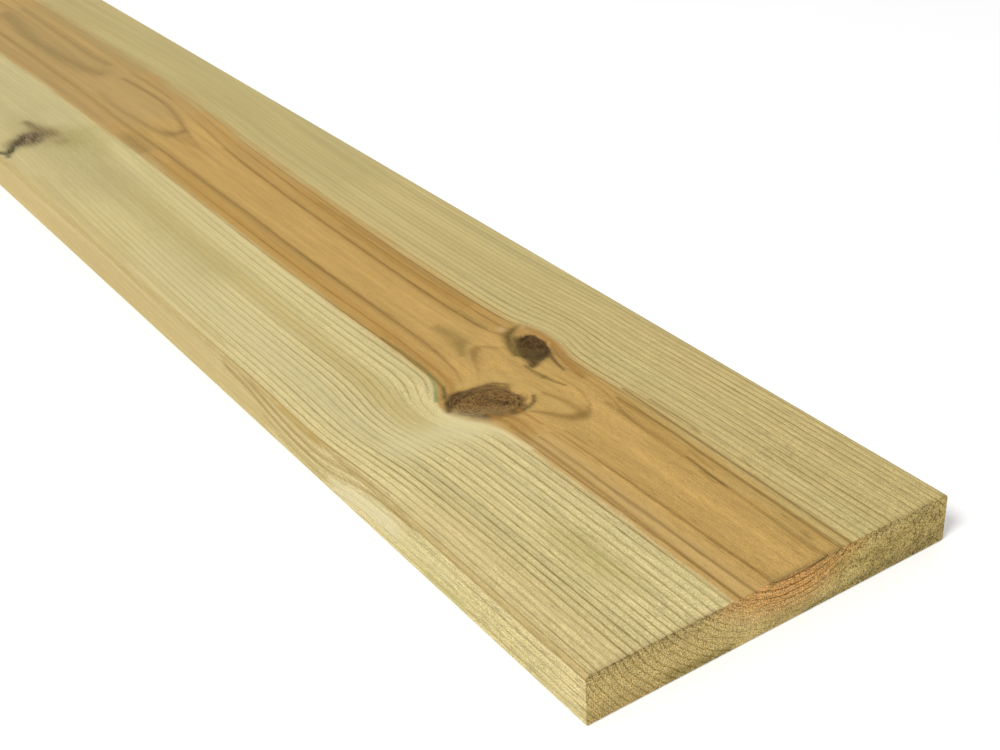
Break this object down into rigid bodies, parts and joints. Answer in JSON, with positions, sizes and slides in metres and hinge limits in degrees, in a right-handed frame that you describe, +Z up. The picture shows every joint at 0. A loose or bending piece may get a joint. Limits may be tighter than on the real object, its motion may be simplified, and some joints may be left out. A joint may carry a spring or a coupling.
{
  "type": "cladding board",
  "caption": "Flat planed softwood cladding board: a long plank of rectangular section with eased arrises and square-cut ends, fixed face-on to battens to clad a wall, shed or fence.",
  "frame": {"origin": "middle of the back face, the face that the board lies on", "axes": "+X along the length, +Y across the width, +Z up through the thickness, out of the front face"},
  "size_m": [1.8, 0.145, 0.018],
  "materials": {
    "treated_pine": "planed, unfinished, pressure-treated pine: pale green-yellow sapwood with a brown heartwood band, knots and sawn end grain"
  },
  "bodies": {
    "root": {"cladding_board": "treated_pine"}
  },
  "joints": []
}
